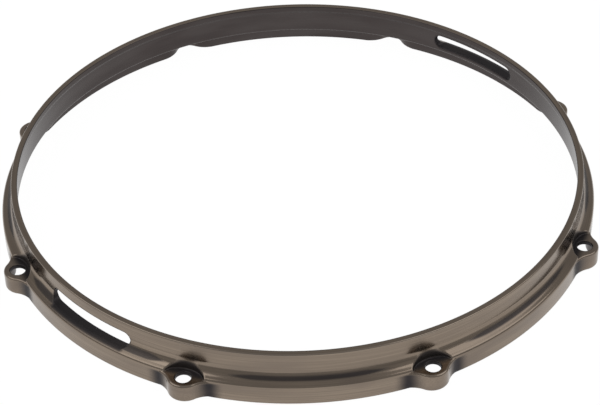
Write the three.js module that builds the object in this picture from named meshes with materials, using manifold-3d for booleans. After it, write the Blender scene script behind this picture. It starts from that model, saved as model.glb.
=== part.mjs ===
// Snare-side drum hoop for a 13 inch drum, in millimetres, +Z up.
// The real hoop is a single zinc die casting. It is drawn here as that one casting and then
// divided into its working regions, which meet face to face: the rim that stands round the
// drum head, the bearing ledge that presses on the head's hoop, the skirt that surrounds it,
// and the hollow ears that the tension rods pass through.
// The origin is the centre of the plane that the skirt stands on. The gates lie on the Y axis.
import * as THREE from "three";
import { mergeVertices } from "three/addons/utils/BufferGeometryUtils.js";
import Module from "manifold-3d";

const wasm = await Module();
wasm.setup();

// Rim, the band that shows above the drum head
const hoopHeight = 29.4;
const rimInnerRadius = 166.2;
const rimWall = 3.8;
const bandDraft = 0.3;
const rimOuterEdge = 1.3;
const rimInnerEdge = 0.6;
const lipDepth = 3.8;
const lipStep = 0.8;
const wallDraft = 0.9;

// Bearing ledge, a plate below the shoulder, over the recess that takes the head's own hoop
const ledgePlate = 3.5;
const recessWidth = 6.7;
const ledgeEdge = 1.4;

// Skirt and the shoulder above it
const skirtWall = 2.3;
const skirtEdge = 0.5;
const shoulderHeight = 13.3;
const shoulderEdge = 1.4;
const coveRadius = 4;

// Ears
const earCount = 8;
const rodOutset = 0.1;
const earRadius = 8;
const earFillet = 12;
const filletBite = 0.1;
const earPlate = 3;
const earEdge = 0.5;
const earMargin = 0.5;

// Washer seat on each ear, and the rod hole through it
const seatDrop = 2.1;
const seatHalfWidth = 11.6;
const seatWallGap = 0.8;
const rodHoleRadius = 4.4;
const rodHoleChamfer = 0.7;

// Gates that the snare straps pass through. Their floor is flush with the shoulder.
const gateCount = 2;
const gateLength = 61.6;
const gateHeight = 8.9;
const gateCornerRadius = 4.2;

// How far every cutting shape runs past what it cuts
const overrun = 2;

// Facets
const ringSegments = 128;
const holeSegments = 16;
const edgeSteps = 1;
const roundSteps = 3;
const coveSteps = 5;
const filletSteps = 5;
const earSteps = 12;
const seatSteps = 24;

// Derived radii and heights
const wallTopRadius = rimInnerRadius + lipStep;
const wallInnerRadius = wallTopRadius + wallDraft;
const bandTopRadius = rimInnerRadius + rimWall;
const bandFootRadius = bandTopRadius + bandDraft;
const skirtInnerRadius = wallInnerRadius + recessWidth;
const skirtOuterRadius = skirtInnerRadius + skirtWall;
const rodCircleRadius = skirtOuterRadius + rodOutset;
const recessHeight = shoulderHeight - ledgePlate;
const seatHeight = shoulderHeight - seatDrop;
const seatDepth = rodCircleRadius - bandFootRadius - seatWallGap;
const fullTurn = 2 * Math.PI;
const earPitch = fullTurn / earCount;

const castMetal = new THREE.MeshStandardMaterial({ color: 0x6e655c, roughness: 0.33, metalness: 1 });

// Solids and meshes

function solidOf(geometry) {
  const bare = geometry.clone();
  bare.deleteAttribute("normal");
  bare.deleteAttribute("uv");
  const merged = mergeVertices(bare);
  return new wasm.Manifold(new wasm.Mesh({
    numProp: 3,
    vertProperties: new Float32Array(merged.attributes.position.array),
    triVerts: new Uint32Array(merged.index.array),
  }));
}

function meshOf(name, solid) {
  const data = solid.getMesh();
  const indexed = new THREE.BufferGeometry();
  indexed.setAttribute("position", new THREE.BufferAttribute(data.vertProperties, 3));
  indexed.setIndex(new THREE.BufferAttribute(data.triVerts, 1));
  const geometry = indexed.toNonIndexed();
  geometry.computeVertexNormals();
  const mesh = new THREE.Mesh(geometry, castMetal);
  mesh.name = name;
  return mesh;
}

// Extrudes an outline drawn in plan from one height up to another
function upright(shape, low, high, bevel = 0) {
  const geometry = new THREE.ExtrudeGeometry(shape, {
    depth: high - low - 2 * bevel,
    bevelEnabled: bevel > 0,
    bevelThickness: bevel,
    bevelSize: bevel,
    bevelOffset: -bevel,
    bevelSegments: edgeSteps,
  });
  return geometry.translate(0, 0, low + bevel);
}

// Points along an arc or an ellipse, from one angle to another
function arcPoints(centre, radii, from, to, steps) {
  const points = [];
  for (let step = 0; step <= steps; step += 1) {
    const angle = from + ((to - from) * step) / steps;
    points.push(new THREE.Vector2(
      centre.x + radii.x * Math.cos(angle),
      centre.y + radii.y * Math.sin(angle),
    ));
  }
  return points;
}

function round(radius) {
  return new THREE.Vector2(radius, radius);
}

// Turns a closed section of (radius, height) points round the Z axis. It starts half a facet
// round, so that the hoop is divided in the middle of a facet and not along its edge.
function revolved(points, segments) {
  return new THREE.LatheGeometry(points, segments, Math.PI / segments).rotateX(Math.PI / 2);
}

// Section of the ring

function corner(radius, height, round = 0, steps = edgeSteps) {
  return { at: new THREE.Vector2(radius, height), round, steps };
}

// The arc that rounds one corner, from its tangent point on the line before to the one after
function roundedCorner(before, here, after) {
  if (here.round === 0) return [here.at.clone()];
  const back = before.at.clone().sub(here.at).normalize();
  const on = after.at.clone().sub(here.at).normalize();
  const half = Math.acos(back.dot(on)) / 2;
  const reach = here.round / Math.tan(half);
  const middle = back.clone().add(on).normalize();
  const centre = here.at.clone().addScaledVector(middle, here.round / Math.sin(half));
  const first = here.at.clone().addScaledVector(back, reach);
  const sweep = (Math.PI - 2 * half) * Math.sign(on.cross(back));
  const arc = [];
  for (let step = 0; step <= here.steps; step += 1) {
    arc.push(first.clone().rotateAround(centre, (sweep * step) / here.steps));
  }
  return arc;
}

const shoulderCorner = corner(skirtOuterRadius, shoulderHeight, shoulderEdge, roundSteps);
const coveCorner = corner(bandFootRadius, shoulderHeight, coveRadius, coveSteps);
const rimOuterCorner = corner(bandTopRadius, hoopHeight, rimOuterEdge, roundSteps);

const sectionCorners = [
  corner(skirtInnerRadius, 0, skirtEdge),
  corner(skirtOuterRadius, 0, skirtEdge),
  shoulderCorner,
  coveCorner,
  rimOuterCorner,
  corner(rimInnerRadius, hoopHeight, rimInnerEdge),
  corner(rimInnerRadius, hoopHeight - lipDepth),
  corner(wallTopRadius, hoopHeight - lipDepth - lipStep),
  corner(wallInnerRadius, recessHeight, ledgeEdge),
  corner(skirtInnerRadius, recessHeight),
];

// The band ends where the cove below it begins
const bandFootHeight = roundedCorner(shoulderCorner, coveCorner, rimOuterCorner).at(-1).y;

function ringSolid() {
  const count = sectionCorners.length;
  const points = sectionCorners.flatMap((here, index) => {
    const before = sectionCorners[(index + count - 1) % count];
    const after = sectionCorners[(index + 1) % count];
    return roundedCorner(before, here, after);
  });
  points.push(points[0].clone());
  return solidOf(revolved(points, ringSegments));
}

// Plan of an ear. The ear points along +Y from the hoop's axis.

// The fillet touches the ear's own circle and runs just into the skirt's outer circle
function filletPlace() {
  const toAxis = skirtOuterRadius - filletBite + earFillet;
  const toRod = earRadius + earFillet;
  const squares = toAxis ** 2 + rodCircleRadius ** 2 - toRod ** 2;
  const turn = Math.acos(squares / (2 * toAxis * rodCircleRadius));
  const centre = new THREE.Vector2(toAxis * Math.sin(turn), toAxis * Math.cos(turn));
  const lean = Math.atan2(centre.y - rodCircleRadius, centre.x);
  return { turn, centre, lean };
}

const fillet = filletPlace();

// The line of the ear's wall, moved in by an inset, and closed along a circle further in
function earOutline(inset, closingRadius) {
  const { turn, centre, lean } = fillet;
  const quarter = Math.PI / 2;
  const right = centre;
  const left = new THREE.Vector2(-centre.x, centre.y);
  const axis = new THREE.Vector2(0, 0);
  const rod = new THREE.Vector2(0, rodCircleRadius);
  const wall = round(earFillet + inset);
  return new THREE.Shape([
    ...arcPoints(axis, round(closingRadius), quarter + turn, quarter - turn, edgeSteps),
    ...arcPoints(right, wall, 3 * quarter - turn, 2 * quarter + lean, filletSteps),
    ...arcPoints(rod, round(earRadius - inset), lean, 2 * quarter - lean, earSteps).slice(1, -1),
    ...arcPoints(left, wall, -lean, turn - quarter, filletSteps),
  ]);
}

function earBoss() {
  const midWall = skirtOuterRadius - skirtWall / 2;
  return upright(earOutline(0, midWall), 0, seatHeight, earEdge);
}

function earHollow() {
  return upright(earOutline(skirtWall, skirtInnerRadius - overrun), -overrun, seatHeight - earPlate);
}

function washerSeat() {
  const rod = new THREE.Vector2(0, rodCircleRadius);
  const radii = new THREE.Vector2(seatHalfWidth, seatDepth);
  const outline = new THREE.Shape(arcPoints(rod, radii, 0, fullTurn, seatSteps).slice(1));
  return upright(outline, seatHeight, bandFootHeight);
}

function rodHole() {
  const wide = rodHoleRadius + rodHoleChamfer;
  const section = [
    new THREE.Vector2(0, -overrun),
    new THREE.Vector2(rodHoleRadius, -overrun),
    new THREE.Vector2(rodHoleRadius, seatHeight - rodHoleChamfer),
    new THREE.Vector2(wide, seatHeight),
    new THREE.Vector2(wide, bandFootHeight),
    new THREE.Vector2(0, bandFootHeight),
  ];
  return revolved(section, holeSegments).translate(0, rodCircleRadius, 0);
}

// A gate's rounded window, cut straight through the wall along Y
function gateWindow() {
  const side = gateLength / 2 - gateCornerRadius;
  const low = shoulderHeight + gateCornerRadius;
  const high = shoulderHeight + gateHeight - gateCornerRadius;
  const quarter = Math.PI / 2;
  const corners = [[side, low], [side, high], [-side, high], [-side, low]];
  const window = new THREE.Shape(corners.flatMap(([x, y], index) => {
    const from = quarter * (index - 1);
    return arcPoints(new THREE.Vector2(x, y), round(gateCornerRadius), from, from + quarter, coveSteps);
  }));
  const inner = Math.sqrt(rimInnerRadius ** 2 - (gateLength / 2) ** 2) - overrun;
  const depth = skirtOuterRadius + overrun - inner;
  const geometry = new THREE.ExtrudeGeometry(window, { depth, bevelEnabled: false });
  return geometry.rotateX(Math.PI / 2).translate(0, -inner, 0);
}

// Places round the hoop. Ear 1 is the first one anticlockwise from the front gate.

function earTurn(index) {
  return Math.PI + earPitch * (index + 0.5);
}

function turned(geometry, angle) {
  return solidOf(geometry.clone().rotateZ(angle));
}

function casting() {
  let solid = ringSolid();
  for (let index = 0; index < earCount; index += 1) {
    solid = solid.add(turned(earBoss(), earTurn(index)));
  }
  for (let index = 0; index < earCount; index += 1) {
    for (const cutter of [earHollow(), washerSeat(), rodHole()]) {
      solid = solid.subtract(turned(cutter, earTurn(index)));
    }
  }
  for (let index = 0; index < gateCount; index += 1) {
    solid = solid.subtract(turned(gateWindow(), (fullTurn * index) / gateCount));
  }
  return solid;
}

// Regions of the casting

const farRadius = skirtOuterRadius + 2 * (earRadius + earFillet);

// All that lies between two turns about the axis and two heights
function wedge(fromTurn, toTurn, low, high) {
  const reach = farRadius / Math.cos((toTurn - fromTurn) / 2);
  const outline = new THREE.Shape();
  outline.moveTo(0, 0);
  outline.lineTo(-reach * Math.sin(fromTurn), reach * Math.cos(fromTurn));
  outline.lineTo(-reach * Math.sin(toTurn), reach * Math.cos(toTurn));
  outline.closePath();
  return solidOf(upright(outline, low, high));
}

// All that lies over the recess, inside the skirt's inner wall
function overRecess() {
  const section = [
    new THREE.Vector2(0, recessHeight),
    new THREE.Vector2(skirtInnerRadius, recessHeight),
    new THREE.Vector2(skirtInnerRadius, hoopHeight),
    new THREE.Vector2(0, hoopHeight),
  ];
  return solidOf(revolved(section, ringSegments));
}

const earSpan = fillet.turn + earMargin / skirtOuterRadius;
const whole = casting();
const ledgeSpace = overRecess();

const group = new THREE.Group();
for (let index = 0; index < earCount; index += 1) {
  const here = earTurn(index);
  const before = here - earPitch;
  const number = index + 1;
  const bay = whole.intersect(wedge(before + earSpan, here - earSpan, -overrun, bandFootHeight));
  const rim = wedge(before, here, bandFootHeight, hoopHeight + overrun);
  const ear = wedge(here - earSpan, here + earSpan, -overrun, bandFootHeight);
  group.add(meshOf(`rim_${number}`, whole.intersect(rim)));
  group.add(meshOf(`bearing_ledge_${number}`, bay.intersect(ledgeSpace)));
  group.add(meshOf(`skirt_${number}`, bay.subtract(ledgeSpace)));
  group.add(meshOf(`ear_${number}`, whole.intersect(ear)));
}

export default group;
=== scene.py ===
"""Looks for the drum hoop: one seamless die casting in place of the CAD regions, its brushed
dark plating, a white table and a plain studio. The hoop's lengths are in millimetres up to its
mesh. Those of the table, the softboxes and the camera's place are in metres."""

import math

import bpy
import numpy as np
from mathutils import Matrix, Vector


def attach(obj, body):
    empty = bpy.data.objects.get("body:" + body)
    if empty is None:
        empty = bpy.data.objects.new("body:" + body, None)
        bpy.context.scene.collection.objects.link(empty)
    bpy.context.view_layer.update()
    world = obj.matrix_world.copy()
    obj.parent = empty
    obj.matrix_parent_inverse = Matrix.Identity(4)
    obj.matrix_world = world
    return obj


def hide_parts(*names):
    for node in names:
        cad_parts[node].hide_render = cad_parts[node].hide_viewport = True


MM = 0.001

# Rim, the band that shows above the drum head
HOOP_HEIGHT = 29.4
RIM_INNER_RADIUS = 166.2
RIM_WALL = 3.8
BAND_DRAFT = 0.3
RIM_OUTER_EDGE = 0.8
RIM_INNER_EDGE = 0.6
LIP_DEPTH = 3.8
LIP_STEP = 0.8
LIP_EDGE = 0.4
WALL_DRAFT = 0.9

# Ledge, skirt and shoulder
LEDGE_PLATE = 3.5
RECESS_WIDTH = 6.7
RECESS_CORNER = 0.6
LEDGE_EDGE = 1.4
SKIRT_WALL = 2.3
SKIRT_EDGE = 0.5
SHOULDER_HEIGHT = 13.3
SHOULDER_SLOPE = math.radians(20)
SHOULDER_OUTER_DROP = 1.1
SHOULDER_EDGE = 1.2
COVE_RADIUS = 4.2

# Ears with their washer seats and rod holes
EAR_COUNT = 8
ROD_OUTSET = 0.1
EAR_RADIUS = 10.0
EAR_INSET = 2.0
EAR_FILLET = 14.0
EAR_PLATE = 3.0
EAR_EDGE = 1.3
HOLLOW_EDGE = 0.8
SEAT_DROP = 2.1
SEAT_HALF_WIDTH = 11.6
SEAT_WALL_GAP = 0.1
SEAT_CORNER = 0.65
SEAT_EDGE = 0.9
ROD_HOLE_RADIUS = 4.4
ROD_HOLE_EDGE = 0.6
ROD_HOLE_COLLAR = 1.4
COLLAR_EDGE = 0.5

# Gates, in the bays that are numbered from the ear before the front gate
GATE_BAYS = (0, 4)
GATE_LENGTH = 61.6
GATE_HEIGHT = 8.9
GATE_CORNER_RADIUS = 4.2
GATE_EDGE = 0.5
SILL_EDGE = 1.5

# How far a rounding takes to change from one radius to another
EDGE_CHANGE = 1.0

# Grid that the casting's surface is taken from, finest round the ears and the gates' ends
GRID_STEP = 0.45
GRID_MARGIN = 1.2
EAR_STEP = math.radians(0.16)
GATE_END_STEP = math.radians(0.25)
PLAIN_STEP = math.radians(0.6)
EAR_SPREAD = 1.05
GATE_CORNER_SPREAD = 1.3
SURFACE_ROUNDS = 3
LEAST_SLOPE = 0.5
PROBE = 0.02
CURVE_PROBE = 0.15
NEIGHBOURS = 6
TINY = 1e-9

# Painted shade and painted dark reflection in the recesses: the gates, the cove between the ears,
# # the fillets beside the ears, the washer seats and the rod holes. A reach is the distance up to
# # which a mark is full and the one at which it is gone. The other pairs are where a mark starts
# and where it is full.
GATE_WALL_REACH = (0.2, 1.0)
GATE_SHELF_REACH = (0.2, 1.4)
GATE_SHELF_ENDS = (0.5, 3.5)
DARK_COVE_SHARE = 0.85
PLAIN_COVE_TURNS = (math.radians(5.5), math.radians(13))
PLAIN_COVE_WIDTH = 1.5
GATED_COVE_TURNS = (math.radians(3.2), math.radians(8))
GATED_COVE_WIDTH = 2.2
COVE_FADE = 0.6
EAR_SIDE_OFFSET = 14.7
EAR_SIDE_REACH = (0, 8.5)
EAR_SIDE_DEPTHS = (0.2, 1.6)
EAR_SKIN_REACH = (0.5, 1.0)
SEAT_MARK_EDGE = (-0.8, 0.2)
SEAT_MARK_FRONT = (-2.0, 3.5)
SEAT_MARK_TOP = (0, 1)
SEAT_MARK_BACK = 1.0

# Middle of the cove's painted dark reflection, outwards from the band's foot and upwards from the
# shoulder
DARK_COVE_MIDDLE = (1.8, 0.8)

# Noises of the plating: steps per metre along the brushing, steps per metre across it, detail
STREAKS = (14.0, 2600.0, 3.0)
CLOUDS = (22.0, 90.0, 2.0)

# Colours of the plating, and the stretches of the noises, of the crease mark and of the facing
# that lead from one to the next
RUBBED_DARK = (0.195, 0.156, 0.123, 1)
RUBBED_LIGHT = (0.272, 0.219, 0.172, 1)
RUBBED_TONES = (0.3, 0.7)
CLOUD = (0.188, 0.152, 0.124, 1)
CLOUD_TONES = (0.35, 0.75)
INNER_DARK = (0.036, 0.031, 0.034, 1)
INNER_LIGHT = (0.060, 0.053, 0.054, 1)
INNER_TONES = (0.3, 0.7)
INNER_FACING = (0.2, 0.8)
INNER_SHARE = 0.9
# Painted shade: its colour, its base strength and how much the clouds vary it
PAINTED_SHADE = (0.045, 0.041, 0.043, 1)
PAINTED_SHADE_BASE = 0.8
PAINTED_SHADE_CLOUDS = 0.4
# Lighter colour on the outer edges, and the stretches and share that place it
EDGE_LIGHT = (0.32, 0.28, 0.24, 1)
EDGE_LIGHT_CREASES = (0.3, 1.6)
EDGE_LIGHT_STREAKS = (0.3, 0.6)
EDGE_LIGHT_SHARE = 0.35

# Finish of the plating. The last three roughnesses are added to the first.
ROUGHNESS = 0.12
STREAK_ROUGHNESS = 0.08
INNER_ROUGHNESS = 0.10
PAINTED_SHADE_ROUGHNESS = 0.30
ANISOTROPY = 0.7
BRUSHING_TURN = 0.25
BUMP_STRENGTH = 0.25
BUMP_DEPTH = 0.02

# Sockets of the Mix node that are there for colours
MIX_INPUTS = (0, 6, 7)
MIX_OUTPUT = 2

# Table. To the camera and in reflections it glows white for the share named last, and the rest
# is its plain colour, which keeps a little of the hoop's shadow.
TABLE_REACH = 6.0
TABLE_DROP = 0.0004
TABLE_COLOUR = (0.8, 0.8, 0.8, 1)
TABLE_ROUGHNESS = 0.9
TABLE_GLOW = 1.035
WHITE_SHARE = 0.95

# Brightness of the room by the height of the direction: the sine of its elevation
ROOM = ((-1.0, 0.8), (-0.02, 0.8), (0.04, 0.42), (0.65, 0.43), (1.0, 0.48))

# Softboxes, each 81 degrees round from the camera, which stands at -46 degrees
SOFTBOXES = (
    ("left_softbox", math.radians(-46 - 81)),
    ("right_softbox", math.radians(-46 + 81)),
)
SOFTBOX_ELEVATION = math.radians(51)
SOFTBOX_DISTANCE = 1.6
SOFTBOX_SIZE = 1.3
SOFTBOX_POWER = 4.2

# Camera, fitted to the photograph's outline. Its lens and its sensor are in millimetres.
CAMERA_TARGET = Vector((0, 0, HOOP_HEIGHT * MM))
CAMERA_TURN = 0.769003
CAMERA_ELEVATION = 0.674155
CAMERA_ROLL = 0.031589
CAMERA_DISTANCE = 1.26583
CAMERA_SIDEWAYS = 0.001113
CAMERA_UPWARD = -0.024734
CAMERA_LENS = 127.468
SENSOR_WIDTH = 36.0

# Radii, heights and turns that follow from the sizes above
WALL_TOP_RADIUS = RIM_INNER_RADIUS + LIP_STEP
WALL_INNER_RADIUS = WALL_TOP_RADIUS + WALL_DRAFT
BAND_TOP_RADIUS = RIM_INNER_RADIUS + RIM_WALL
BAND_FOOT_RADIUS = BAND_TOP_RADIUS + BAND_DRAFT
SKIRT_INNER_RADIUS = WALL_INNER_RADIUS + RECESS_WIDTH
SKIRT_OUTER_RADIUS = SKIRT_INNER_RADIUS + SKIRT_WALL
ROD_CIRCLE_RADIUS = SKIRT_OUTER_RADIUS + ROD_OUTSET
EAR_CENTRE_RADIUS = ROD_CIRCLE_RADIUS - EAR_INSET
EAR_REACH = EAR_RADIUS + EAR_FILLET
RECESS_HEIGHT = SHOULDER_HEIGHT - LEDGE_PLATE
SEAT_HEIGHT = SHOULDER_HEIGHT - SEAT_DROP
SEAT_DEPTH = ROD_CIRCLE_RADIUS - BAND_FOOT_RADIUS - SEAT_WALL_GAP
BAND_FOOT_HEIGHT = SHOULDER_HEIGHT + COVE_RADIUS
GATE_MIDDLE_HEIGHT = SHOULDER_HEIGHT + GATE_HEIGHT / 2
BAY = 2 * math.pi / EAR_COUNT
FIRST_EAR_TURN = -math.pi / 2 - BAY / 2


# Distance fields. They are negative inside the metal, and a rounding is a true radius.

def union(a, b, rounding):
    gap_a = np.maximum(rounding - a, 0)
    gap_b = np.maximum(rounding - b, 0)
    return np.maximum(rounding, np.minimum(a, b)) - np.hypot(gap_a, gap_b)


def both(a, b, rounding):
    return -union(-a, -b, rounding)


def cut(a, tool, rounding):
    return -union(-a, tool, rounding)


def slanted(r, z, low, high):
    """Distance of (r, z) outwards from the line that rises from low to high."""
    run, rise = high[0] - low[0], high[1] - low[1]
    return ((r - low[0]) * rise - (z - low[1]) * run) / math.hypot(run, rise)


def layer(z, middle, thickness):
    return np.abs(z - middle) - thickness / 2


def shoulder_field(r, z):
    """The space under the shoulder, which falls outwards."""
    above = z - SHOULDER_HEIGHT + SHOULDER_OUTER_DROP
    outwards = r - SKIRT_OUTER_RADIUS
    return above * math.cos(SHOULDER_SLOPE) + outwards * math.sin(SHOULDER_SLOPE)


def ring_field(r, z):
    """The hoop's section between the ears, with no gate and no recess."""
    band_foot = (BAND_FOOT_RADIUS, SHOULDER_HEIGHT)
    band_top = (BAND_TOP_RADIUS, HOOP_HEIGHT)
    upper = both(slanted(r, z, band_foot, band_top), z - HOOP_HEIGHT, RIM_OUTER_EDGE)
    lower = both(r - SKIRT_OUTER_RADIUS, shoulder_field(r, z), SHOULDER_EDGE)
    outer = union(upper, lower, COVE_RADIUS)

    lip_low = (WALL_TOP_RADIUS, HOOP_HEIGHT - LIP_DEPTH - LIP_STEP)
    lip_high = (RIM_INNER_RADIUS, HOOP_HEIGHT - LIP_DEPTH)
    ledge_low = (WALL_INNER_RADIUS, RECESS_HEIGHT)
    wall = -slanted(r, z, ledge_low, lip_low)
    lip = both(RIM_INNER_RADIUS - r, -slanted(r, z, lip_low, lip_high), LIP_EDGE)
    ring = both(outer, union(wall, lip, LIP_EDGE), RIM_INNER_EDGE)
    return both(ring, -z, SKIRT_EDGE)


def ear_plan(x, y, r):
    """Plan of the skirt with an ear on it: the ear's circle joins the skirt in true fillets."""
    to_axis = SKIRT_OUTER_RADIUS + EAR_FILLET
    squares = to_axis ** 2 + EAR_CENTRE_RADIUS ** 2 - EAR_REACH ** 2
    turn = math.acos(squares / (2 * to_axis * EAR_CENTRE_RADIUS))
    centre_x, centre_y = to_axis * math.sin(turn), to_axis * math.cos(turn)
    dx, dy = x - centre_x, y - centre_y
    beyond_skirt_side = dx * centre_y - dy * centre_x < 0
    ear_x, ear_y = -centre_x, EAR_CENTRE_RADIUS - centre_y
    beyond_ear_side = dx * ear_y - dy * ear_x < 0
    fillet = EAR_FILLET - np.hypot(dx, dy)
    ear = np.hypot(x, y - EAR_CENTRE_RADIUS) - EAR_RADIUS
    plain = np.minimum(r - SKIRT_OUTER_RADIUS, ear)
    return np.where(beyond_skirt_side & beyond_ear_side, fillet, plain)


def seat_field(x, y, z):
    """The washer seat's scoop: an ellipse round the rod hole, open above."""
    across, along = x / SEAT_HALF_WIDTH, (y - ROD_CIRCLE_RADIUS) / SEAT_DEPTH
    reach = np.hypot(across, along)
    slope = np.hypot(across / SEAT_HALF_WIDTH, along / SEAT_DEPTH) + TINY
    return both(reach * (reach - 1) / slope, SEAT_HEIGHT - z, SEAT_CORNER)


def hole_field(x, y):
    return np.hypot(x, y - ROD_CIRCLE_RADIUS) - ROD_HOLE_RADIUS


def along_gate(turn, r):
    """Distance along the chord from the gate's middle."""
    return np.abs(r * np.sin(BAY / 2 - turn))


def gate_field(turn, r, z):
    """The window straight through the wall."""
    past_x = along_gate(turn, r) - GATE_LENGTH / 2 + GATE_CORNER_RADIUS
    past_z = np.abs(z - GATE_MIDDLE_HEIGHT) - GATE_HEIGHT / 2 + GATE_CORNER_RADIUS
    corner = np.hypot(np.maximum(past_x, 0), np.maximum(past_z, 0))
    return corner + np.minimum(np.maximum(past_x, past_z), 0) - GATE_CORNER_RADIUS


def with_ear(ring, plan, x, y, r, z):
    """Adds the ear's boss, which is as high as the washer seat, outside the recess."""
    boss = both(plan, layer(z, SEAT_HEIGHT / 2, SEAT_HEIGHT), EAR_EDGE)
    near_ear = np.hypot(x, y - EAR_CENTRE_RADIUS) < EAR_REACH
    inside_ring = r < SKIRT_INNER_RADIUS
    return np.where(near_ear & ~inside_ring, np.minimum(ring, boss), ring)


def hollowed(solid, plan, r, z):
    """Takes out the recess and the ear's hollow. The edge is rounder where it is the ledge's."""
    recess = both(r - SKIRT_INNER_RADIUS, z - RECESS_HEIGHT, RECESS_CORNER)
    hollow = both(plan + SKIRT_WALL, z - SEAT_HEIGHT + EAR_PLATE, HOLLOW_EDGE)
    ledge_side = np.clip((BAND_FOOT_RADIUS + LEDGE_EDGE - r) / EDGE_CHANGE, 0, 1)
    edge = SKIRT_EDGE + (LEDGE_EDGE - SKIRT_EDGE) * ledge_side
    return cut(solid, np.minimum(recess, hollow), edge)


def drilled(solid, x, y, z):
    """Makes the rod hole. A collar keeps its length where the scoop would thin the plate."""
    hole = hole_field(x, y)
    plate = layer(z, SEAT_HEIGHT - EAR_PLATE / 2, EAR_PLATE)
    collar = both(hole - ROD_HOLE_COLLAR, plate, COLLAR_EDGE)
    return cut(np.minimum(solid, collar), hole, ROD_HOLE_EDGE)


def with_gate(solid, turn, r, z):
    """Cuts the gate. Its edge is rounder where the floor meets the inside of the wall."""
    inner_side = np.clip((WALL_INNER_RADIUS + SILL_EDGE - r) / EDGE_CHANGE, 0, 1)
    sill_side = inner_side * np.clip((GATE_MIDDLE_HEIGHT - z) / EDGE_CHANGE, 0, 1)
    edge = GATE_EDGE + (SILL_EDGE - GATE_EDGE) * sill_side
    return cut(solid, gate_field(turn, r, z), edge)


def casting_field(turn, r, z, gated):
    """The whole casting. A turn is measured from the nearest ear, towards the next one."""
    x, y = r * np.sin(turn), r * np.cos(turn)
    plan = ear_plan(x, y, r)
    ring = cut(ring_field(r, z), seat_field(x, y, z), SEAT_EDGE)
    solid = with_ear(ring, plan, x, y, r, z)
    solid = hollowed(solid, plan, r, z)
    solid = drilled(solid, x, y, z)
    return np.where(gated, with_gate(solid, turn, r, z), solid)


def folded(turn):
    """A turn from the first ear as the turn from the nearest ear, and whether a gate is there."""
    bay = np.floor(turn / BAY).astype(int) % EAR_COUNT
    within = turn % BAY
    return np.minimum(within, BAY - within), np.isin(bay, GATE_BAYS)


# Grid and surface

def half_bay_turns():
    ear_side = EAR_SPREAD * math.asin(EAR_REACH / ROD_CIRCLE_RADIUS)
    gate_end = BAY / 2 - math.asin(GATE_LENGTH / 2 / BAND_TOP_RADIUS)
    corner = GATE_CORNER_SPREAD * GATE_CORNER_RADIUS / BAND_TOP_RADIUS
    stretches = (
        (0, ear_side, EAR_STEP),
        (ear_side, gate_end - corner / 2, PLAIN_STEP),
        (gate_end - corner / 2, gate_end + corner, GATE_END_STEP),
        (gate_end + corner, BAY / 2, PLAIN_STEP),
    )
    parts = [
        np.linspace(start, end, math.ceil((end - start) / step), endpoint=False)
        for start, end, step in stretches
    ]
    return np.concatenate(parts + [[BAY / 2]])


def around(half):
    """A half bay's values, mirrored into a bay without its last value."""
    return np.concatenate([half[:-1], half[::-1][:-1]])


def sampled_casting():
    half = half_bay_turns()
    bay = np.concatenate([half[:-1], (BAY - half[::-1])[:-1]])
    turns = np.concatenate([bay + BAY * index for index in range(EAR_COUNT)])
    far = ROD_CIRCLE_RADIUS + EAR_RADIUS + GRID_MARGIN
    radii = np.arange(RIM_INNER_RADIUS - GRID_MARGIN, far, GRID_STEP)
    heights = np.arange(-GRID_MARGIN, HOOP_HEIGHT + GRID_MARGIN, GRID_STEP)
    grid = np.meshgrid(half, radii, heights, indexing="ij")
    plain = around(casting_field(*grid, False))
    gated = around(casting_field(*grid, True))
    bays = [gated if index in GATE_BAYS else plain for index in range(EAR_COUNT)]
    return turns, radii, heights, np.concatenate(bays)


def crossings(closed, axis):
    """Which grid lines along the axis the surface crosses, and at what share of their length."""
    low = np.take(closed, range(closed.shape[axis] - 1), axis)
    high = np.take(closed, range(1, closed.shape[axis]), axis)
    crossed = (low < 0) != (high < 0)
    return crossed, np.where(crossed, low / np.where(crossed, low - high, 1), 0)


def cell_sides(steps, axis):
    """The four sides of all cells that run along the axis: where to pick them from the grid
    lines, and where they lie in the cell on the other two axes."""
    others = [other for other in range(3) if other != axis]
    sides = []
    for shifts in ((0, 0), (0, 1), (1, 0), (1, 1)):
        place = dict(zip(others, shifts))
        starts = [place.get(part, 0) for part in range(3)]
        pick = tuple(slice(start, start + step) for start, step in zip(starts, steps))
        sides.append((pick, place))
    return sides


def lined_up(values, axis):
    """Values along one axis of the grid, ready to be combined with whole blocks of it."""
    return values.reshape([-1 if part == axis else 1 for part in range(3)])


def net_points(turns, radii, heights, field):
    """One point in each cell that the surface crosses, and the cells' numbers. A point is the
    mean of the places where the surface crosses the cell's sides."""
    closed = np.concatenate([field, field[:1]])
    axes = (np.append(turns, turns[0] + 2 * math.pi), radii, heights)
    steps = tuple(len(values) - 1 for values in axes)
    total = np.zeros(steps + (3,))
    count = np.zeros(steps)
    for axis in range(3):
        crossed, share = crossings(closed, axis)
        for pick, place in cell_sides(steps, axis):
            hit = crossed[pick]
            count += hit
            for part, values in enumerate(axes):
                start = lined_up(values[:-1], part)
                width = lined_up(np.diff(values), part)
                at = start + width * place.get(part, share[pick])
                total[..., part] += np.where(hit, at, 0)
    active = count > 0
    numbers = np.full(steps, -1)
    numbers[active] = np.arange(active.sum())
    return total[active] / count[active][:, None], numbers


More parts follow.
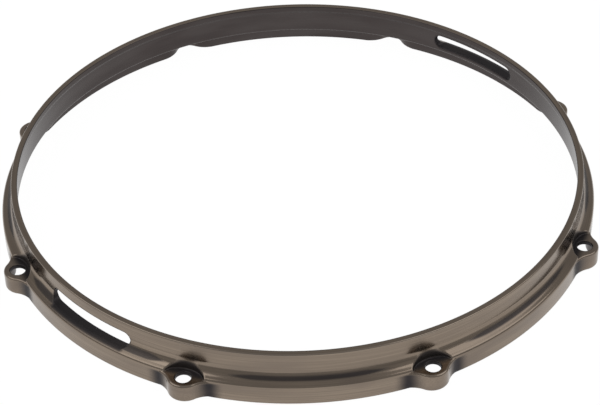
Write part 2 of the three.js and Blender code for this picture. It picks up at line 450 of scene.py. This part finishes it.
def net_faces(field, numbers):
    """Four cells round each crossed grid line make one face, wound so that it faces out."""
    inside = field < 0
    next_inside = np.roll(inside, -1, 0)
    previous = np.roll(numbers, 1, 0)
    along_turn = (
        numbers[:, :-1, :-1], numbers[:, 1:, :-1], numbers[:, 1:, 1:], numbers[:, :-1, 1:],
    )
    along_radius = (
        previous[:, :, :-1], previous[:, :, 1:], numbers[:, :, 1:], numbers[:, :, :-1],
    )
    along_height = (
        previous[:, :-1], numbers[:, :-1], numbers[:, 1:], previous[:, 1:],
    )
    lines = (
        (inside[:, 1:-1, 1:-1], next_inside[:, 1:-1, 1:-1], along_turn),
        (inside[:, :-1, 1:-1], inside[:, 1:, 1:-1], along_radius),
        (inside[:, 1:-1, :-1], inside[:, 1:-1, 1:], along_height),
    )
    quads = []
    for low, high, around_line in lines:
        entering = ~low & high
        leaving = low & ~high
        quads.append(np.stack([cells[entering] for cells in around_line], -1))
        quads.append(np.stack([cells[leaving] for cells in around_line[::-1]], -1))
    return np.concatenate(quads)


def field_at(points):
    turn, gated = folded(points[:, 0])
    return casting_field(turn, points[:, 1], points[:, 2], gated)


def moved(points, axis, distance):
    """The points, moved by a distance along the turn, the radius or the height."""
    points = points.copy()
    points[:, axis] += distance / points[:, 1] if axis == 0 else distance
    return points


def field_slopes(points):
    """The field's slope along the turn, the radius and the height, all per millimetre."""
    slopes = []
    for axis in range(3):
        ahead = field_at(moved(points, axis, PROBE))
        behind = field_at(moved(points, axis, -PROBE))
        slopes.append((ahead - behind) / (2 * PROBE))
    return np.stack(slopes, -1)


def settled(points):
    """Moves each point along the field's slope on to the surface itself."""
    for _ in range(SURFACE_ROUNDS):
        slopes = field_slopes(points)
        push = field_at(points) / np.maximum((slopes ** 2).sum(-1), LEAST_SLOPE ** 2)
        move = slopes * np.clip(push, -GRID_STEP / 2, GRID_STEP / 2)[:, None]
        move[:, 0] /= points[:, 1]
        points = points - move
    return points


def crease(points):
    """How sharply the surface turns: above 0 on outer edges, below 0 in inner corners."""
    total = -NEIGHBOURS * field_at(points)
    for axis in range(3):
        for distance in (-CURVE_PROBE, CURVE_PROBE):
            total += field_at(moved(points, axis, distance))
    return total / CURVE_PROBE ** 2


# Marks for the material, from 0 to 1

def ramp(value, low, high):
    share = np.clip((value - low) / (high - low), 0, 1)
    return share * share * (3 - 2 * share)


def near(distance, full, gone):
    return ramp(-np.abs(distance), -gone, -full)


def gate_mark(turn, r, z):
    """Painted shade on the gate's walls, and away from its two ends also on its floor and the
    shoulder before it.
    """
    window = near(gate_field(turn, r, z), *GATE_WALL_REACH)
    before_it = ramp(GATE_LENGTH / 2 - along_gate(turn, r), *GATE_SHELF_ENDS)
    shelf = near(z - SHOULDER_HEIGHT, *GATE_SHELF_REACH)
    return np.maximum(window, before_it * shelf * (r > WALL_INNER_RADIUS))


def cove_mark(turn, r, z, gated):
    """Painted dark reflection in the cove between two ears. The mark narrows to nothing towards
    each of them.
    """
    plain = ramp(turn, *PLAIN_COVE_TURNS) * PLAIN_COVE_WIDTH
    by_gate = ramp(turn, *GATED_COVE_TURNS) * GATED_COVE_WIDTH
    width = np.where(gated, by_gate, plain)
    middle_r, middle_z = DARK_COVE_MIDDLE
    away = np.hypot(r - BAND_FOOT_RADIUS - middle_r, z - SHOULDER_HEIGHT - middle_z)
    inside = ramp(width - away, -COVE_FADE, COVE_FADE)
    return DARK_COVE_SHARE * inside * ramp(width, 0, COVE_FADE)


def ear_side_mark(x, y, r, z):
    """Painted shade on the outside of the fillets beside an ear, below the washer seat."""
    beside = near(x - EAR_SIDE_OFFSET, *EAR_SIDE_REACH)
    below_seat = ramp(SEAT_HEIGHT - z, *EAR_SIDE_DEPTHS)
    outside = near(ear_plan(x, y, r), *EAR_SKIN_REACH)
    return beside * below_seat * outside


def seat_mark(x, y, z):
    """Painted shade in the washer seat behind the rod hole, and on the scoop's wall up to the
    band's foot.
    """
    inside = ramp(-seat_field(x, y, z + SEAT_CORNER), *SEAT_MARK_EDGE)
    towards_band = ramp(ROD_CIRCLE_RADIUS - y, *SEAT_MARK_FRONT)
    below_band = ramp(BAND_FOOT_HEIGHT - z, *SEAT_MARK_TOP)
    return inside * towards_band * below_band * (y > BAND_FOOT_RADIUS - SEAT_MARK_BACK)


# Painted shade inside the rod hole
def hole_mark(x, y):
    return ramp(-hole_field(x, y), -ROD_HOLE_EDGE, 0)


def painted_shade(points):
    """1 where shade and a dark reflection are painted into the plating: in the gates, in the cove
    between the ears, beside the ears, in the washer seats and in the rod holes.
    """
    turn, gated = folded(points[:, 0])
    r, z = points[:, 1], points[:, 2]
    x, y = r * np.sin(turn), r * np.cos(turn)
    marks = (
        gate_mark(turn, r, z) * gated,
        cove_mark(turn, r, z, gated),
        ear_side_mark(x, y, r, z),
        seat_mark(x, y, z),
        hole_mark(x, y),
    )
    return np.max(marks, axis=0)


# The casting's mesh

def marked(mesh, name, values):
    marks = mesh.attributes.new(name, "FLOAT", "POINT")
    marks.data.foreach_set("value", values.astype(np.float32))


def turned(points, outwards, along, upwards):
    """x, y and z of what is given at each point as outwards, along the turn and upwards."""
    angle = points[:, 0] + FIRST_EAR_TURN
    cosine, sine = np.cos(angle), np.sin(angle)
    x = outwards * cosine - along * sine
    y = outwards * sine + along * cosine
    return np.stack([x, y, upwards], -1)


def casting_mesh():
    turns, radii, heights, field = sampled_casting()
    points, numbers = net_points(turns, radii, heights, field)
    quads = net_faces(field, numbers)
    points = settled(points)
    placed = turned(points, points[:, 1], 0, points[:, 2]) * MM
    slopes = field_slopes(points)
    normals = turned(points, slopes[:, 1], slopes[:, 0], slopes[:, 2])
    normals /= np.linalg.norm(normals, axis=1)[:, None]

    mesh = bpy.data.meshes.new("hoop_casting")
    mesh.from_pydata(placed.tolist(), [], quads.tolist())
    mesh.update()
    mesh.shade_smooth()
    mesh.normals_split_custom_set_from_vertices(normals.tolist())
    marked(mesh, "crease", crease(points))
    # The painted shade, kept on the mesh for the material
    marked(mesh, "painted_shade", painted_shade(points))
    return mesh


# Materials

def node(tree, kind, **settings):
    made = tree.nodes.new(kind)
    for name, value in settings.items():
        setattr(made, name, value)
    return made


def plug(tree, value, socket):
    """Links another node's output to the socket, or sets the socket to a plain value."""
    if isinstance(value, bpy.types.NodeSocket):
        tree.links.new(value, socket)
    else:
        socket.default_value = value


def maths(tree, operation, *values, clamp=False):
    made = node(tree, "ShaderNodeMath", operation=operation, use_clamp=clamp)
    for value, socket in zip(values, made.inputs):
        plug(tree, value, socket)
    return made.outputs[0]


def vector_maths(tree, operation, *values):
    made = node(tree, "ShaderNodeVectorMath", operation=operation)
    for value, socket in zip(values, made.inputs):
        plug(tree, value, socket)
    return made.outputs


def blended(tree, share, first, second):
    made = node(tree, "ShaderNodeMix", data_type="RGBA")
    for value, index in zip((share, first, second), MIX_INPUTS):
        plug(tree, value, made.inputs[index])
    return made.outputs[MIX_OUTPUT]


def ramped(tree, value, low, high):
    made = node(tree, "ShaderNodeMapRange", interpolation_type="SMOOTHSTEP")
    plug(tree, value, made.inputs["Value"])
    plug(tree, low, made.inputs["From Min"])
    plug(tree, high, made.inputs["From Max"])
    return made.outputs[0]


def brushing(tree, along, across, detail):
    """Noise drawn out round the hoop: slow along the circumference, fast across it."""
    parts = node(tree, "ShaderNodeSeparateXYZ")
    plug(tree, node(tree, "ShaderNodeTexCoord").outputs["Object"], parts.inputs[0])
    x, y, z = parts.outputs
    squares = maths(tree, "ADD", maths(tree, "POWER", x, 2.0), maths(tree, "POWER", y, 2.0))
    radius = maths(tree, "SQRT", squares)
    place = node(tree, "ShaderNodeCombineXYZ")
    plug(tree, maths(tree, "MULTIPLY", x, along), place.inputs[0])
    plug(tree, maths(tree, "MULTIPLY", y, along), place.inputs[1])
    plug(tree, maths(tree, "MULTIPLY", z, across), place.inputs[2])
    noise = node(tree, "ShaderNodeTexNoise", noise_dimensions="4D")
    plug(tree, place.outputs[0], noise.inputs["Vector"])
    plug(tree, maths(tree, "MULTIPLY", radius, across), noise.inputs["W"])
    plug(tree, 1.0, noise.inputs["Scale"])
    plug(tree, detail, noise.inputs["Detail"])
    return noise.outputs["Fac"]


def mark(tree, name):
    return node(tree, "ShaderNodeAttribute", attribute_name=name).outputs["Fac"]


def facing_axis(tree):
    """1 where the surface looks at the hoop's axis, 0 where it looks away."""
    geometry = node(tree, "ShaderNodeNewGeometry").outputs
    flat = vector_maths(tree, "MULTIPLY", geometry["Position"], (1, 1, 0))["Vector"]
    outwards = vector_maths(tree, "NORMALIZE", flat)["Vector"]
    away = vector_maths(tree, "DOT_PRODUCT", outwards, geometry["Normal"])["Value"]
    return ramped(tree, maths(tree, "MULTIPLY", away, -1.0), *INNER_FACING)


def dark_places(tree, clouds):
    """The places of painted shade, stronger and weaker with the clouds."""
    ragged = maths(tree, "MULTIPLY_ADD", clouds, PAINTED_SHADE_CLOUDS, PAINTED_SHADE_BASE)
    return maths(tree, "MULTIPLY", mark(tree, "painted_shade"), ragged, clamp=True)


def lighter_edges(tree, streaks, inner, dark):
    """Lighter outer edges, but not on the inner wall or where shade is painted."""
    creased = ramped(tree, mark(tree, "crease"), *EDGE_LIGHT_CREASES)
    edge_light = maths(tree, "MULTIPLY", creased, ramped(tree, streaks, *EDGE_LIGHT_STREAKS))
    spared = maths(tree, "MAXIMUM", dark, inner)
    return maths(tree, "MULTIPLY", edge_light, maths(tree, "SUBTRACT", 1.0, spared))


def plating_colour(tree, streaks, clouds, inner, dark):
    rubbed = blended(tree, ramped(tree, streaks, *RUBBED_TONES), RUBBED_DARK, RUBBED_LIGHT)
    cloudy = blended(tree, ramped(tree, clouds, *CLOUD_TONES), rubbed, CLOUD)
    inside = blended(tree, ramped(tree, clouds, *INNER_TONES), INNER_DARK, INNER_LIGHT)
    colour = blended(tree, maths(tree, "MULTIPLY", inner, INNER_SHARE), cloudy, inside)
    # Painted shade in the recesses
    colour = blended(tree, dark, colour, PAINTED_SHADE)
    # Lighter outer edges
    edge_light = lighter_edges(tree, streaks, inner, dark)
    return blended(tree, maths(tree, "MULTIPLY", edge_light, EDGE_LIGHT_SHARE), colour, EDGE_LIGHT)


def plating_roughness(tree, streaks, inner, dark):
    rough = maths(tree, "MULTIPLY_ADD", streaks, STREAK_ROUGHNESS, ROUGHNESS)
    rough = maths(tree, "ADD", rough, maths(tree, "MULTIPLY", inner, INNER_ROUGHNESS))
    return maths(tree, "ADD", rough, maths(tree, "MULTIPLY", dark, PAINTED_SHADE_ROUGHNESS))


def fine_relief(tree, streaks):
    bump = node(tree, "ShaderNodeBump")
    plug(tree, BUMP_STRENGTH, bump.inputs["Strength"])
    plug(tree, BUMP_DEPTH * MM, bump.inputs["Distance"])
    plug(tree, streaks, bump.inputs["Height"])
    return bump.outputs[0]


def new_material(name):
    material = bpy.data.materials.new(name)
    material.use_nodes = True
    return material, material.node_tree, material.node_tree.nodes["Principled BSDF"].inputs


def plated_casting():
    """Brushed dark plating, taupe, darker on the faces that look at the hoop's axis, with painted
    shade in the recesses and lighter outer edges.
    """
    material, tree, shader = new_material("plated_casting")
    streaks = brushing(tree, *STREAKS)
    clouds = brushing(tree, *CLOUDS)
    inner = facing_axis(tree)
    dark = dark_places(tree, clouds)
    round_hoop = node(tree, "ShaderNodeTangent", direction_type="RADIAL", axis="Z")
    plug(tree, plating_colour(tree, streaks, clouds, inner, dark), shader["Base Color"])
    plug(tree, plating_roughness(tree, streaks, inner, dark), shader["Roughness"])
    plug(tree, 1.0, shader["Metallic"])
    plug(tree, ANISOTROPY, shader["Anisotropic"])
    plug(tree, BRUSHING_TURN, shader["Anisotropic Rotation"])
    plug(tree, round_hoop.outputs[0], shader["Tangent"])
    plug(tree, fine_relief(tree, streaks), shader["Normal"])
    return material


def seen_white(tree):
    """1 for the rays that should see the plain white of the background."""
    path = node(tree, "ShaderNodeLightPath").outputs
    seen = maths(tree, "MAXIMUM", path["Is Camera Ray"], path["Is Glossy Ray"])
    return maths(tree, "MAXIMUM", seen, path["Is Transmission Ray"])


def table_white():
    """White that glows for the camera and in reflections, and is matt for all other light."""
    material, tree, shader = new_material("table_white")
    plug(tree, TABLE_COLOUR, shader["Base Color"])
    plug(tree, TABLE_ROUGHNESS, shader["Roughness"])
    plug(tree, 0.0, shader["Specular IOR Level"])
    glow = node(tree, "ShaderNodeEmission")
    plug(tree, TABLE_GLOW, glow.inputs["Strength"])
    mix = node(tree, "ShaderNodeMixShader")
    plug(tree, maths(tree, "MULTIPLY", seen_white(tree), WHITE_SHARE), mix.inputs[0])
    plug(tree, tree.nodes["Principled BSDF"].outputs[0], mix.inputs[1])
    plug(tree, glow.outputs[0], mix.inputs[2])
    plug(tree, mix.outputs[0], tree.nodes["Material Output"].inputs["Surface"])
    return material


# Table and studio

def shown(name, data):
    made = bpy.data.objects.new(name, data)
    bpy.context.scene.collection.objects.link(made)
    return made


def add_table():
    mesh = bpy.data.meshes.new("table")
    corners = ((-1, -1), (1, -1), (1, 1), (-1, 1))
    places = [(x * TABLE_REACH, y * TABLE_REACH, -TABLE_DROP) for x, y in corners]
    mesh.from_pydata(places, [], [(0, 1, 2, 3)])
    mesh.materials.append(table_white())
    table = shown("table", mesh)


def add_room():
    """A world whose brightness follows the sine of the direction's elevation. The colour ramp
    runs from 0 to 1 while the sine runs from -1 to 1."""
    world = bpy.data.worlds.new("studio")
    world.use_nodes = True
    tree = world.node_tree
    parts = node(tree, "ShaderNodeSeparateXYZ")
    plug(tree, node(tree, "ShaderNodeTexCoord").outputs["Generated"], parts.inputs[0])
    height = node(tree, "ShaderNodeMapRange")
    plug(tree, parts.outputs[2], height.inputs["Value"])
    plug(tree, -1.0, height.inputs["From Min"])
    levels = node(tree, "ShaderNodeValToRGB")
    plug(tree, height.outputs[0], levels.inputs[0])
    stops = levels.color_ramp.elements
    ready = len(stops)
    for index, (sine, level) in enumerate(ROOM):
        place = (sine + 1) / 2
        stop = stops[index] if index < ready else stops.new(place)
        stop.position = place
        stop.color = (level, level, level, 1)
    plug(tree, levels.outputs[0], tree.nodes["Background"].inputs["Color"])
    bpy.context.scene.world = world


def add_softbox(name, angle):
    light = bpy.data.lights.new(name, "AREA")
    light.shape = "DISK"
    light.size = SOFTBOX_SIZE
    light.energy = SOFTBOX_POWER
    flat = SOFTBOX_DISTANCE * math.cos(SOFTBOX_ELEVATION)
    height = SOFTBOX_DISTANCE * math.sin(SOFTBOX_ELEVATION)
    place = Vector((flat * math.cos(angle), flat * math.sin(angle), height))
    lamp = shown(name, light)
    lamp.location = place
    lamp.rotation_euler = (-place).to_track_quat("-Z", "Y").to_euler()


def add_camera():
    """Placed as if it looked towards +Y, then turned round the hoop's axis."""
    sine, cosine = math.sin(CAMERA_ELEVATION), math.cos(CAMERA_ELEVATION)
    right, up, back = Vector((1, 0, 0)), Vector((0, sine, cosine)), Vector((0, -cosine, sine))
    place = CAMERA_SIDEWAYS * right + CAMERA_UPWARD * up + CAMERA_DISTANCE * back
    tilted_right = math.cos(CAMERA_ROLL) * right - math.sin(CAMERA_ROLL) * up
    tilted_up = math.sin(CAMERA_ROLL) * right + math.cos(CAMERA_ROLL) * up
    facing = Matrix((tilted_right, tilted_up, back)).transposed().to_4x4()
    pivot = Matrix.Translation(CAMERA_TARGET) @ Matrix.Rotation(CAMERA_TURN, 4, "Z")
    data = bpy.data.cameras.new("camera")
    data.sensor_width = SENSOR_WIDTH
    data.lens = CAMERA_LENS
    camera = shown("camera", data)
    camera.matrix_world = pivot @ Matrix.Translation(place) @ facing
    bpy.context.scene.camera = camera


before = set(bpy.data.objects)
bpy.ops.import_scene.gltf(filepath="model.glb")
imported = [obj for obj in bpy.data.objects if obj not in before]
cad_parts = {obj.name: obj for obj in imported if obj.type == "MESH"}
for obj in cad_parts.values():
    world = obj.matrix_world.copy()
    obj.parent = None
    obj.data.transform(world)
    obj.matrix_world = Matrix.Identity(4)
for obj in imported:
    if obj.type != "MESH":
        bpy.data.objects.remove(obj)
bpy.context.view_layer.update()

casting = shown("hoop_casting", casting_mesh())
casting.data.materials.append(plated_casting())
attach(casting, "root")
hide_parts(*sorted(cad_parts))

add_table()
add_room()
for softbox_name, softbox_angle in SOFTBOXES:
    add_softbox(softbox_name, softbox_angle)
add_camera()
bpy.context.scene.view_settings.view_transform = "Standard"
